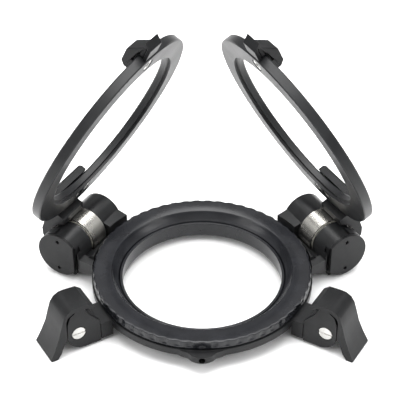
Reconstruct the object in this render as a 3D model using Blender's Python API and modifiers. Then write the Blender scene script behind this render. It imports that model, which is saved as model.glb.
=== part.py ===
"""Double flip holder for two close-up lenses.

A knurled ring screws the holder onto the lens port of a camera housing.  Two lens rings
swing on friction hinges, one on each side, and each one closes over the port ring and is
held by the sprung latch opposite its hinge.

Frame: origin on the optical axis, on the shoulder that seats against the port; +Z points
away from the port; -Y is the side with the index boss.  Lengths are written in millimetres
and turned into metres by MM.
"""

import math

import bmesh
import bpy
from mathutils import Matrix, Vector

MM = 0.001
GAP = 0.3                      # clearance between pieces that touch
AXIS_STEPS = 64                # facets of the large turned pieces
SMALL_STEPS = 20               # facets of the small turned pieces

# Port ring
TOP_Z = 7.3                    # top face of the knurled ring above the seat
KNURL_RADIUS = 44.05
KNURL_COUNT = 56
KNURL_DEPTH = 0.4
KNURL_BASE_Z = 3.8
FLAT_INNER_RADIUS = 36.6       # where the flat top meets the funnel
FUNNEL_RADIUS = 33.7           # small end of the funnel, and bore of the neck
FUNNEL_Z = TOP_Z - 3.3
BASE_RADIUS = 44.6
BASE_TOP_Z = 3.5
BASE_BORE_RADIUS = 36.0
FLANGE_RADIUS = 38.0
FLANGE_TOP_Z = 1.3
THREAD_RADIUS = 33.5           # 67 mm port thread
SLEEVE_BORE_RADIUS = 32.2
SLEEVE_BOTTOM_Z = TOP_Z - 10.1
GROOVE_RADII = (38.7, 41.8)    # groove of the glide ring
GROOVE_Z = 2.4
FLOOR_Z = -5.6                 # the surface that the hinge feet and the lever tails rest on

# Index boss
BOSS_REACH = 48.3
BOSS_RADIUS = 6.6
LOCK_SCREW_RADIUS = 1.0

# Hinges: x points to the optical axis, y to the rear, z up, from the hinge axis
HINGE_RHO = 56.0
HINGE_Z = TOP_Z - 2.0
HINGE_TURN = math.radians(30.0)
COLLAR_RADIUS = 9.8
BARREL_RADIUS = 8.8
REAR_KNUCKLE_RADIUS = 9.2
CAP_FACE_Y = -21.0
CAP_THICKNESS = 1.3
COLLAR_Y = (CAP_FACE_Y + CAP_THICKNESS + GAP, -15.4)
BARREL_END_Y = -9.3
REAR_KNUCKLE_Y = (0.6, 12.2)
SLEEVE_Y = (-8.4, 0.3)
HINGE_SLEEVE_RADIUS = 9.6
HUB_RADIUS = 7.0
PIN_RADIUS = 2.0
CHAMBER_RADIUS = 6.0
CHAMBER_FLOOR_Y = -13.0

# Lens rings, in the hinge frame with the ring closed
OPEN_ANGLE = math.radians(65.0)
RING_Z = (9.0, 13.2)           # underside and top side above the hinge axis
RING_RADIUS = 44.8
LENS_BORE_RADIUS = 35.0
ARM_TOP_Z = 17.0
ARM_FOOT_Y = (-13.6, 0.2)
ARM_BLOCK_Y = (-12.0, 6.5)
ARM_BLOCK_X = (11.0, 21.5)
ARM_SCREWS_Y = (-6.3, -2.1)
TAB_Y = (-3.6, 3.6)
TAB_TOP_Z = 18.4
CATCH_HALF_WIDTH = 4.1
CATCH_HEEL = (106.3, 10.9)     # inner corner of the catch, where the tab's end sits
# place of each screw through the ring, and the radius of its head
RING_SCREWS = (((16.6, -3.0), 2.0), ((16.6, 3.0), 2.0), ((96.4, 0.0), 2.4))

# Latches: x points away from the optical axis, y to the rear, z up, from the latch pivot
LATCH_RHO = 58.5
LATCH_Z = TOP_Z - 4.2
LATCH_TURN = math.radians(30.0)
LEVER_HALF_WIDTH = 6.3
TAIL_FLARE = 0.7
CHEEK_HALF_WIDTH = 6.0
SLOT_HALF_WIDTH = 4.4
ARM_END_X = -9.6               # joint face between the port ring's stub and the bracket
STUB_TOP_Z = 0.5
CHEEK_TOP_Z = 11.0
NOSE_Z = 10.3                  # underside of the hook
PIVOT_RADIUS = 1.5
BRACKET_SCREWS_Z = (-4.9, -1.3)
BRACKET_BOTTOM_Z = -7.8
HEAD_SEAT_RADIUS = 3.1
HEAD_SEAT_DEPTH = 0.9

COLLECTION = "double_flip_lens_holder"


# ---------------------------------------------------------------- scene helpers

def clear_scene():
    for obj in list(bpy.data.objects):
        bpy.data.objects.remove(obj, do_unlink=True)


def make_collection(name):
    collection = bpy.data.collections.new(name)
    bpy.context.scene.collection.children.link(collection)
    return collection


def make_material(name, colour, roughness, metallic):
    material = bpy.data.materials.new(name)
    material.use_nodes = True
    shader = material.node_tree.nodes["Principled BSDF"]
    shader.inputs["Base Color"].default_value = (*colour, 1.0)
    shader.inputs["Roughness"].default_value = roughness
    shader.inputs["Metallic"].default_value = metallic
    return material


def make_empty(name, location, turn, parent=None, tilt=0.0):
    """An axis frame: turned about Z, or tilted about its parent's Y."""
    empty = bpy.data.objects.new(name, None)
    empty.empty_display_size = 5 * MM
    empty.location = [value * MM for value in location]
    empty.rotation_euler = (0.0, tilt, turn)
    empty.parent = parent
    parts.objects.link(empty)
    return empty


# ---------------------------------------------------------------- mesh helpers

def mesh_from(bm, name):
    bmesh.ops.recalc_face_normals(bm, faces=bm.faces)
    mesh = bpy.data.meshes.new(name)
    bm.to_mesh(mesh)
    bm.free()
    return mesh


def evaluated(obj):
    """The object's mesh with its modifiers applied."""
    bpy.context.view_layer.update()
    graph = bpy.context.evaluated_depsgraph_get()
    mesh = bpy.data.meshes.new_from_object(obj.evaluated_get(graph))
    bpy.data.objects.remove(obj, do_unlink=True)
    return mesh


def loose_object(mesh):
    obj = bpy.data.objects.new(mesh.name, mesh)
    bpy.context.scene.collection.objects.link(obj)
    return obj


def turned(profile, steps):
    """A closed (radius, z) outline turned about Z by a Screw modifier."""
    bm = bmesh.new()
    verts = [bm.verts.new((r * MM, 0.0, z * MM)) for r, z in profile]
    for start, end in zip(verts, verts[1:] + verts[:1]):
        bm.edges.new((start, end))
    mesh = bpy.data.meshes.new("profile")
    bm.to_mesh(mesh)
    bm.free()
    obj = loose_object(mesh)
    screw = obj.modifiers.new("turn", "SCREW")
    screw.steps = steps
    screw.render_steps = steps
    screw.use_merge_vertices = True
    screw.merge_threshold = 0.00001
    result = evaluated(obj)
    bm = bmesh.new()
    bm.from_mesh(result)
    bmesh.ops.remove_doubles(bm, verts=bm.verts, dist=0.000001)
    bpy.data.meshes.remove(result)
    return mesh_from(bm, "turned")


def box(x, y, z):
    """A box between the given pairs of limits."""
    bm = bmesh.new()
    bmesh.ops.create_cube(bm, size=1.0)
    sizes = [(high - low) * MM for low, high in (x, y, z)]
    centre = [(high + low) / 2 * MM for low, high in (x, y, z)]
    bmesh.ops.scale(bm, vec=sizes, verts=bm.verts)
    bmesh.ops.translate(bm, vec=centre, verts=bm.verts)
    return mesh_from(bm, "box")


def rod(radius, limits, axis="Y", centre=(0.0, 0.0), steps=SMALL_STEPS):
    """A cylinder along an axis; centre holds the other two coordinates in order."""
    low, high = limits
    bm = bmesh.new()
    bmesh.ops.create_cone(
        bm, cap_ends=True, segments=steps, radius1=radius * MM,
        radius2=radius * MM, depth=(high - low) * MM)
    bmesh.ops.translate(bm, vec=(0.0, 0.0, (high + low) / 2 * MM), verts=bm.verts)
    to_axis = {
        "X": Matrix(((0, 0, 1), (1, 0, 0), (0, 1, 0))),
        "Y": Matrix(((0, 1, 0), (0, 0, 1), (1, 0, 0))),
        "Z": Matrix.Identity(3),
    }[axis]
    bmesh.ops.transform(bm, matrix=to_axis.to_4x4(), verts=bm.verts)
    first, second = centre
    shift = {"X": (0, first, second), "Y": (first, 0, second), "Z": (first, second, 0)}[axis]
    bmesh.ops.translate(bm, vec=[value * MM for value in shift], verts=bm.verts)
    return mesh_from(bm, "rod")


def plate(outline, limits, plane="XZ"):
    """A flat outline, filled and extruded between two limits square to its plane."""
    low, high = limits
    curve = bpy.data.curves.new("outline", "CURVE")
    curve.dimensions = "2D"
    curve.fill_mode = "BOTH"
    curve.extrude = (high - low) / 2 * MM
    spline = curve.splines.new("POLY")
    spline.points.add(len(outline) - 1)
    for point, (first, second) in zip(spline.points, outline):
        point.co = (first * MM, second * MM, 0.0, 1.0)
    spline.use_cyclic_u = True
    obj = bpy.data.objects.new("outline", curve)
    bpy.context.scene.collection.objects.link(obj)
    mesh = evaluated(obj)
    mesh.transform(Matrix.Translation((0.0, 0.0, (high + low) / 2 * MM)))
    if plane == "XZ":
        mesh.transform(Matrix(((1, 0, 0), (0, 0, 1), (0, 1, 0))).to_4x4())
    bm = bmesh.new()
    bm.from_mesh(mesh)
    bmesh.ops.remove_doubles(bm, verts=bm.verts, dist=0.000001)
    bpy.data.meshes.remove(mesh)
    return mesh_from(bm, "plate")


def arc(centre, radius, start, end, count):
    """Points on an arc, angles in degrees."""
    points = []
    for step in range(count + 1):
        angle = math.radians(start + (end - start) * step / count)
        points.append((centre[0] + radius * math.cos(angle), centre[1] + radius * math.sin(angle)))
    return points


def boolean(base, others, operation):
    """The base mesh joined with, or cut by, the other meshes one after another."""
    for other in others:
        body = loose_object(base)
        tool = loose_object(other)
        cutters.objects.link(tool)
        tool.hide_render = True
        tool.display_type = "WIRE"
        modifier = body.modifiers.new(operation.lower(), "BOOLEAN")
        modifier.operation = operation
        modifier.object = tool
        base = evaluated(body)
        bpy.data.objects.remove(tool, do_unlink=True)
    return base


def joined(base, *others):
    return boolean(base, others, "UNION")


def cut(base, *others):
    return boolean(base, others, "DIFFERENCE")


def moved(mesh, x=0.0, y=0.0, z=0.0):
    mesh.transform(Matrix.Translation((x * MM, y * MM, z * MM)))
    return mesh


def spun(mesh, angle):
    mesh.transform(Matrix.Rotation(angle, 4, "Z"))
    return mesh


def mirrored(mesh):
    """The same piece for the other hand, mirrored in x."""
    copy = mesh.copy()
    copy.transform(Matrix.Diagonal((-1.0, 1.0, 1.0, 1.0)))
    copy.flip_normals()
    return copy


def add_part(name, mesh, material, parent=None):
    mesh.name = name
    mesh.materials.clear()
    mesh.materials.append(material)
    mesh.shade_smooth()
    mesh.set_sharp_from_angle(angle=math.radians(32.0))
    obj = bpy.data.objects.new(name, mesh)
    obj.parent = parent
    parts.objects.link(obj)
    return obj


# ---------------------------------------------------------------- port ring

def knurl_ring():
    """Grip ring: scalloped rim, flat top, hollow funnel and a neck around the sleeve."""
    neck_outer = BASE_BORE_RADIUS - GAP
    profile = [
        (FLAT_INNER_RADIUS, TOP_Z),
        (KNURL_RADIUS - 0.45, TOP_Z),
        (KNURL_RADIUS, TOP_Z - 0.4),
        (KNURL_RADIUS, KNURL_BASE_Z),
        (neck_outer, KNURL_BASE_Z),
        (neck_outer, FLANGE_TOP_Z + GAP),
        (FUNNEL_RADIUS, FLANGE_TOP_Z + GAP),
        (FUNNEL_RADIUS, FUNNEL_Z),
        (FUNNEL_RADIUS + 0.6, FUNNEL_Z + 0.35),
        (FUNNEL_RADIUS + 1.5, FUNNEL_Z + 1.2),
        (FUNNEL_RADIUS + 2.3, FUNNEL_Z + 2.3),
    ]
    ring = turned(profile, KNURL_COUNT * 2)
    rim = (KNURL_RADIUS - 1.0) * MM
    for vertex in ring.vertices:
        radius = math.hypot(vertex.co.x, vertex.co.y)
        if radius > rim:
            wave = math.cos(math.atan2(vertex.co.y, vertex.co.x) * KNURL_COUNT)
            scale = 1.0 - KNURL_DEPTH * MM * (0.5 - 0.5 * wave) / radius
            vertex.co.x *= scale
            vertex.co.y *= scale
    return ring


def thread_sleeve():
    """Threaded tube with the flange that seats on the port."""
    top = FUNNEL_Z - 0.1
    profile = [
        (SLEEVE_BORE_RADIUS, top),
        (THREAD_RADIUS - 0.15, top),
        (THREAD_RADIUS - 0.15, FLANGE_TOP_Z),
        (FLANGE_RADIUS, FLANGE_TOP_Z),
        (FLANGE_RADIUS, 0.0),
        (THREAD_RADIUS + 0.15, 0.0),
        (THREAD_RADIUS, -0.3),
        (THREAD_RADIUS, SLEEVE_BOTTOM_Z + 0.4),
        (THREAD_RADIUS - 0.4, SLEEVE_BOTTOM_Z),
        (SLEEVE_BORE_RADIUS + 0.3, SLEEVE_BOTTOM_Z),
    ]
    return turned(profile, AXIS_STEPS)


def glide_ring():
    """Plastic washer that the knurled ring turns on."""
    inner, outer = GROOVE_RADII[0] + GAP, GROOVE_RADII[1] - GAP
    low, high = GROOVE_Z + GAP, KNURL_BASE_Z - GAP
    return turned([(inner, high), (outer, high), (outer, low), (inner, low)], AXIS_STEPS)


def hinge_block():
    """Foot, two arms, web, collar, barrel and rear knuckle of one hinge, in the hinge frame."""
    low = FLOOR_Z - HINGE_Z
    front_y = (COLLAR_Y[0] + 0.4, COLLAR_Y[1] + 0.4)
    rear_y = (REAR_KNUCKLE_Y[0] + 0.5, REAR_KNUCKLE_Y[1] - 0.4)
    front = [(2.0, -7.6), (9.0, -6.8), (19.0, -4.8), (19.0, -1.0), (8.4, -0.4), (2.0, 1.0)]
    rear = [(2.0, -7.6), (9.0, -6.8), (19.0, -4.8), (19.0, 1.8), (13.0, 3.4), (7.0, 5.0), (2.0, 5.0)]
    web = [(6.0, -7.1), (9.0, -6.8), (19.0, -4.8), (19.0, 1.4), (12.4, 0.6), (9.4, -1.6), (6.0, -2.4)]
    foot = [(-0.8, low), (5.6, low), (6.8, -6.4), (4.0, -3.0), (-2.4, -7.0)]
    relief = rod(BARREL_RADIUS + 1.15, (BARREL_END_Y, REAR_KNUCKLE_Y[0]), steps=56)
    collar = rod(COLLAR_RADIUS, COLLAR_Y, steps=56)
    collar = cut(collar, box((-2.6, 12.0), (-30.0, 0.0), (-6.2, 12.0)))
    barrel = rod(BARREL_RADIUS, (COLLAR_Y[0] + 0.2, BARREL_END_Y), steps=48)
    knuckle = rod(REAR_KNUCKLE_RADIUS, REAR_KNUCKLE_Y, steps=48)
    block = joined(barrel, collar, plate(front, front_y), plate(web, (COLLAR_Y[1], rear_y[0] + 0.6)))
    block = cut(block, relief)
    block = joined(block, plate(rear, rear_y), knuckle)
    block = joined(block, plate(foot, (COLLAR_Y[0] + 2.0, BARREL_END_Y - 0.4)),
                   plate(foot, (REAR_KNUCKLE_Y[0] + 0.8, REAR_KNUCKLE_Y[1] - 1.6)))
    notch = box((7.3, 8.3), (-30.0, COLLAR_Y[0] + 2.6), (-20.0, 20.0))
    chamber = rod(CHAMBER_RADIUS, (CAP_FACE_Y - 2.0, CHAMBER_FLOOR_Y))
    pin_hole = rod(PIN_RADIUS + GAP, (CAP_FACE_Y - 3.0, REAR_KNUCKLE_Y[1] - 1.4), steps=20)
    return cut(block, notch, chamber, pin_hole)


def latch_arm():
    """Stub of the port ring that carries one latch bracket, in the latch frame."""
    width = (-CHEEK_HALF_WIDTH, CHEEK_HALF_WIDTH)
    arm = box((-20.0, ARM_END_X), width, (BRACKET_BOTTOM_Z + 0.7, STUB_TOP_Z))
    holes = [rod(1.3, (-14.0, 0.0), "X", (0.0, z), 12) for z in BRACKET_SCREWS_Z]
    return cut(arm, *holes)


def boss_outline():
    """Blunt, round-ended index boss with hollow flanks."""
    nose = arc((0.0, -BOSS_REACH + BOSS_RADIUS), BOSS_RADIUS, 213, 327, 10)
    left = [(-11.6, -42.2), (-9.4, -43.3), (-7.4, -44.6)]
    right = [(-x, y) for x, y in reversed(left)]
    return left + nose + right


def trimmed(block):
    """A stub cut back to the band, clear of the knurled ring and of the port."""
    centre = rod(42.6, (-40.0, 40.0), "Z", steps=AXIS_STEPS)
    below = rod(BASE_RADIUS - 0.3, (-30.0, 0.3), "Z", steps=AXIS_STEPS)
    above = rod(KNURL_RADIUS + 0.33, (BASE_TOP_Z - 0.3, 30.0), "Z", steps=AXIS_STEPS)
    return cut(block, centre, below, above)


def base_ring():
    """Band with the index boss and both latch stubs."""
    inner, outer = GROOVE_RADII
    step = FLANGE_TOP_Z + GAP
    body = turned([
        (outer, BASE_TOP_Z), (BASE_RADIUS - 0.2, BASE_TOP_Z), (BASE_RADIUS, BASE_TOP_Z - 0.2),
        (BASE_RADIUS, 0.5), (BASE_RADIUS - 0.5, 0.0), (FLANGE_RADIUS + GAP, 0.0),
        (FLANGE_RADIUS + GAP, step), (BASE_BORE_RADIUS, step), (BASE_BORE_RADIUS, BASE_TOP_Z),
        (inner, BASE_TOP_Z), (inner, GROOVE_Z), (outer, GROOVE_Z)], AXIS_STEPS)
    body = joined(body, plate(boss_outline(), (0.25, BASE_TOP_Z - 0.25), "XY"))
    for hand in (1, -1):
        latch = latch_arm() if hand < 0 else mirrored(latch_arm())
        body = joined(body, trimmed(place_latch(latch, hand)))
    screw_hole = rod(LOCK_SCREW_RADIUS + GAP, (-60.0, -42.5), "Y", (0.0, BASE_TOP_Z / 2), 16)
    return cut(body, screw_hole)


def hinge_bracket():
    """Hinge cradle shaped to the band's outside, in the hinge frame."""
    band = rod(BASE_RADIUS + GAP, (-40.0, 40.0), "Z", (HINGE_RHO, 0.0), AXIS_STEPS)
    return cut(hinge_block(), band)


def lock_screw():
    """Socket set screw in the index boss."""
    z = BASE_TOP_Z / 2
    screw = rod(LOCK_SCREW_RADIUS, (-BOSS_REACH + 2.4, -42.9), "Y", (0.0, z), 16)
    socket = rod(0.6, (-BOSS_REACH, -BOSS_REACH + 3.4), "Y", (0.0, z), 6)
    return cut(screw, socket)


# ---------------------------------------------------------------- frames

def hinge_place(hand):
    return (-hand * HINGE_RHO * math.cos(HINGE_TURN), HINGE_RHO * math.sin(HINGE_TURN), HINGE_Z)


def latch_place(hand):
    along = Vector((-hand * math.cos(LATCH_TURN), -math.sin(LATCH_TURN), 0.0))
    return tuple(along * LATCH_RHO + Vector((0.0, 0.0, LATCH_Z)))


def latch_heading(hand):
    return LATCH_TURN * hand


def place_latch(mesh, hand):
    """A latch piece already mirrored for its hand, moved to its place on the ring."""
    spun(mesh, latch_heading(hand))
    return moved(mesh, *latch_place(hand))


# ---------------------------------------------------------------- hinge pieces

def hinge_cap():
    """Round cover with a flat side and two holes for a pin spanner."""
    end = CAP_FACE_Y + CAP_THICKNESS
    face = rod(COLLAR_RADIUS, (CAP_FACE_Y, end), steps=32)
    spigot = rod(CHAMBER_RADIUS - GAP, (CAP_FACE_Y + 0.5, CAP_FACE_Y + 3.1))
    flat = box((7.5, 20.0), (CAP_FACE_Y - 2.0, end + 0.5), (-20.0, 20.0))
    holes = [
        rod(0.75, (CAP_FACE_Y - 1.0, CAP_FACE_Y + 1.0), "Y", (0.0, z), 8)
        for z in (6.75, -6.75)]
    return cut(joined(face, spigot), flat, *holes)


def hinge_pin():
    """Pin through both knuckles, with a screwdriver slot in its front end."""
    shank = rod(PIN_RADIUS, (-17.5, 10.5), steps=12)
    return cut(shank, box((-0.4, 0.4), (-18.0, -16.9), (-3.0, 3.0)))


def hinge_nut():
    """Locking nut on the pin, inside the spring chamber."""
    nut = rod(4.2, (-16.5, -14.7), steps=6)
    return cut(nut, rod(PIN_RADIUS + 0.1, (-18.0, -12.0), steps=12))


def disc_spring(index):
    """One of the disc springs that load the hinge's friction faces."""
    low = CHAMBER_FLOOR_Y - 0.35 - 0.42 * index
    disc = rod(4.6, (low, low + 0.3), steps=16)
    return cut(disc, rod(PIN_RADIUS + 0.2, (low - 1.0, low + 1.0), steps=12))


def friction_washer():
    """Thin washer between the front knuckle and the sleeve."""
    disc = rod(8.2, (-9.0, -8.7), steps=SMALL_STEPS)
    return cut(disc, rod(PIN_RADIUS + 0.2, (-10.0, -7.0), steps=12))


def hinge_sleeve():
    """Stainless sleeve around the hinge's hub."""
    tube = rod(HINGE_SLEEVE_RADIUS, SLEEVE_Y, steps=32)
    tube = cut(tube, rod(HUB_RADIUS + GAP, (-12.0, 4.0), steps=32))
    return cut(tube, *arm_screw_holes())


def hinge_hub():
    """Bush inside the sleeve, turning on the pin."""
    hub = rod(HUB_RADIUS, SLEEVE_Y, steps=12)
    hub = cut(hub, rod(PIN_RADIUS + 0.1, (-12.0, 4.0), steps=12))
    return cut(hub, *arm_screw_holes(depth=4.6))


def arm_screw_holes(depth=5.0):
    return [rod(1.3, (depth, 30.0), "Z", (0.0, y), 8) for y in ARM_SCREWS_Y]


# ---------------------------------------------------------------- lens ring pieces

def lens_ring():
    """Lens ring with a stepped bore, and countersinks for the arm and tab screws."""
    low, high = RING_Z
    bore = LENS_BORE_RADIUS
    profile = [
        (bore + 0.6, high), (RING_RADIUS - 0.5, high), (RING_RADIUS, high - 0.5),
        (RING_RADIUS, low + 0.4), (RING_RADIUS - 0.4, low), (bore + 1.3, low),
        (bore + 1.3, low + 1.1), (bore, low + 1.4), (bore, high - 0.6)]
    ring = moved(turned(profile, AXIS_STEPS), x=HINGE_RHO)
    holes = [rod(1.3, (low - 1.0, high + 1.0), "Z", place, 8) for place, head in RING_SCREWS]
    heads = [
        rod(head + GAP, (low - 1.0, low + 1.5), "Z", place, 12) for place, head in RING_SCREWS]
    return cut(ring, *holes, *heads)


def countersunk(place, head_radius):
    """Screw that comes up through the lens ring into the arm or the tab."""
    low, high = RING_Z
    head = rod(head_radius, (low + 0.2, low + 1.2), "Z", place, 12)
    shank = rod(1.0, (low + 1.0, high + 2.2), "Z", place, 8)
    socket = rod(0.45 * head_radius, (low - 1.0, low + 0.8), "Z", place, 6)
    return cut(joined(head, shank), socket)


def flip_arm():
    """Arm over the sleeve: a foot that hugs the hinge, and a block that clamps the lens ring."""
    over = RING_Z[1] + GAP
    saddle = HINGE_SLEEVE_RADIUS + GAP
    edge = HINGE_RHO - RING_RADIUS - GAP
    foot = arc((0.0, 0.0), saddle, 116, 34, 12)
    foot += [(edge, 6.4), (edge, over + 0.5), (edge - 2.0, 14.8), (5.5, 14.2), (-1.6, 13.4),
             (-4.6, 11.8), (-5.4, 10.2)]
    left, right = ARM_BLOCK_X
    block = [
        (edge - 0.1, over), (right, over), (right, ARM_TOP_Z - 1.2), (right - 1.2, ARM_TOP_Z),
        (left + 0.4, ARM_TOP_Z), (left - 2.4, 14.9), (left - 2.4, over - 2.6),
        (edge - 0.1, over - 2.6)]
    arm = joined(plate(foot, ARM_FOOT_Y), plate(block, ARM_BLOCK_Y))
    holes = arm_screw_holes()
    heads = [rod(2.2, (12.6, 30.0), "Z", (0.0, y), 16) for y in ARM_SCREWS_Y]
    taps = [rod(1.3, (6.0, over + 2.6), "Z", place, 12) for place, head in RING_SCREWS[:2]]
    return cut(arm, *holes, *heads, *taps)


def arm_screw(y):
    """Socket screw that holds the arm to the sleeve and the hub."""
    head = rod(1.9, (12.9, 14.0), "Z", (0.0, y), 10)
    shank = rod(1.0, (5.2, 13.0), "Z", (0.0, y), 8)
    socket = rod(0.9, (13.3, 15.0), "Z", (0.0, y), 6)
    return cut(joined(head, shank), socket)


def latch_tab():
    """Wedge-shaped tab that is pressed to close the ring."""
    over = RING_Z[1] + GAP
    edge = HINGE_RHO + RING_RADIUS + GAP
    end, under = CATCH_HEEL[0] - GAP, CATCH_HEEL[1] + GAP
    outline = [
        (91.8, over), (91.8, TAB_TOP_Z - 1.8), (93.6, TAB_TOP_Z), (100.0, TAB_TOP_Z),
        (end, under + 0.9), (end, under), (edge, under), (edge, over)]
    place = RING_SCREWS[2][0]
    return cut(plate(outline, TAB_Y), rod(1.3, (6.0, over + 2.6), "Z", place, 8))


def latch_catch():
    """Hard lip at the tab's end, with a slanted nose that the latch's hook holds down."""
    edge = HINGE_RHO + RING_RADIUS + GAP
    low = RING_Z[0] + 0.4
    heel_x, heel_z = CATCH_HEEL
    outline = [
        (edge, low), (heel_x - 0.1, low), (heel_x + 2.1, low + 3.2), (heel_x, low + 2.9),
        (heel_x, heel_z), (edge, heel_z)]
    return plate(outline, (-CATCH_HALF_WIDTH, CATCH_HALF_WIDTH))


# ---------------------------------------------------------------- latch pieces

def latch_bracket():
    """Clevis: two round-ended cheeks joined by a web, bolted to the port ring's stub."""
    left = ARM_END_X + GAP
    low = BRACKET_BOTTOM_Z
    outline = [
        (left, low), (left, STUB_TOP_Z + 1.9), (-4.9, 7.6), (-3.0, CHEEK_TOP_Z),
        (1.0, CHEEK_TOP_Z)]
    outline += [(3.3, 9.4), (4.5, 6.0), (4.7, 1.0)]
    outline += arc((-2.3, low + 7.0), 7.0, 0, -90, 9)
    body = plate(outline, (-CHEEK_HALF_WIDTH, CHEEK_HALF_WIDTH))
    slot = (-SLOT_HALF_WIDTH, SLOT_HALF_WIDTH)
    gap = box((-6.2, 20.0), slot, (-20.0, 20.0))
    mouth = box((left - 1.0, 20.0), slot, (STUB_TOP_Z + 0.4, 20.0))
    holes = [rod(1.3, (left - 1.0, 0.0), "X", (0.0, z), 12) for z in BRACKET_SCREWS_Z]
    bore = rod(PIVOT_RADIUS + 0.1, (-20.0, 20.0), steps=20)
    seat = rod(HEAD_SEAT_RADIUS, (-20.0, HEAD_SEAT_DEPTH - CHEEK_HALF_WIDTH), steps=24)
    return cut(body, gap, mouth, bore, seat, *holes)


def bracket_screw(z):
    """Cap screw from the bracket's slot into the port ring's stub."""
    head = rod(1.5, (-5.9, -5.0), "X", (0.0, z), 10)
    shank = rod(1.0, (-12.6, -5.7), "X", (0.0, z), 8)
    return joined(head, shank)


def latch_lever():
    """Lever: hub between the cheeks, roof with the hook, and a flared tail for the thumb."""
    sides = (-LEVER_HALF_WIDTH, LEVER_HALF_WIDTH)
    inner = (-SLOT_HALF_WIDTH + GAP, SLOT_HALF_WIDTH - GAP)
    under = CHEEK_TOP_Z + GAP
    low = FLOOR_Z - LATCH_Z
    shell = [
        (-7.0, NOSE_Z), (-7.2, NOSE_Z + 0.6), (-4.8, 12.9), (0.0, 13.3), (2.4, 13.2),
        (4.6, 12.0), (6.1, 9.8), (7.4, 5.6), (8.5, 1.6), (10.6, -3.6), (12.9, low + 0.6),
        (12.4, low), (10.0, low), (8.2, -6.4), (6.9, -3.4), (5.3, -0.9), (5.1, 2.0), (5.2, 7.5),
        (4.4, 9.8), (2.0, under), (-4.4, under), (-5.0, NOSE_Z)]
    web = [(-3.5, 0.0)] + arc((0.0, 0.0), 3.6, 185, 330, 8)
    web += [(5.8, -1.0), (5.8, 8.4), (3.4, 12.0), (-3.5, 12.2)]
    body = joined(plate(shell, sides), plate(web, inner))
    side_start = (LEVER_HALF_WIDTH - 0.1) * MM
    for vertex in body.vertices:
        share = min(1.0, max(0.0, (1.0 * MM - vertex.co.z) / (9.0 * MM)))
        if abs(vertex.co.y) > side_start:
            vertex.co.y += math.copysign(share * TAIL_FLARE * MM, vertex.co.y)
    coil_room = rod(3.0, (-1.7, 1.7), steps=24)
    return cut(body, coil_room, rod(PIVOT_RADIUS + GAP, (-20.0, 20.0), steps=20))


def latch_pin():
    """Pivot screw whose slotted head sits in the front cheek."""
    front = -CHEEK_HALF_WIDTH
    seat = front + HEAD_SEAT_DEPTH
    head = rod(HEAD_SEAT_RADIUS - GAP, (front + 0.05, seat - GAP), steps=24)
    shank = rod(PIVOT_RADIUS, (seat - 0.5, CHEEK_HALF_WIDTH - 0.2), steps=20)
    slot = box((-4.0, 4.0), (front - 2.0, front + 0.35), (-0.45, 0.45))
    return cut(joined(head, shank), slot)


def latch_spring():
    """Torsion spring around the pivot, inside the lever."""
    turns = 3
    steps = 10
    radius = 2.35
    curve = bpy.data.curves.new("coil", "CURVE")
    curve.dimensions = "3D"
    curve.bevel_depth = 0.25 * MM
    curve.bevel_resolution = 0
    curve.use_fill_caps = True
    spline = curve.splines.new("POLY")
    count = turns * steps
    spline.points.add(count)
    for index, point in enumerate(spline.points):
        angle = 2.0 * math.pi * index / steps
        y = -1.1 + 2.2 * index / count
        point.co = (radius * math.cos(angle) * MM, y * MM, radius * math.sin(angle) * MM, 1.0)
    obj = bpy.data.objects.new("coil", curve)
    bpy.context.scene.collection.objects.link(obj)
    mesh = evaluated(obj)
    bm = bmesh.new()
    bm.from_mesh(mesh)
    bmesh.ops.remove_doubles(bm, verts=bm.verts, dist=0.000001)
    return mesh_from(bm, "coil")


# ---------------------------------------------------------------- assembly

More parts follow.
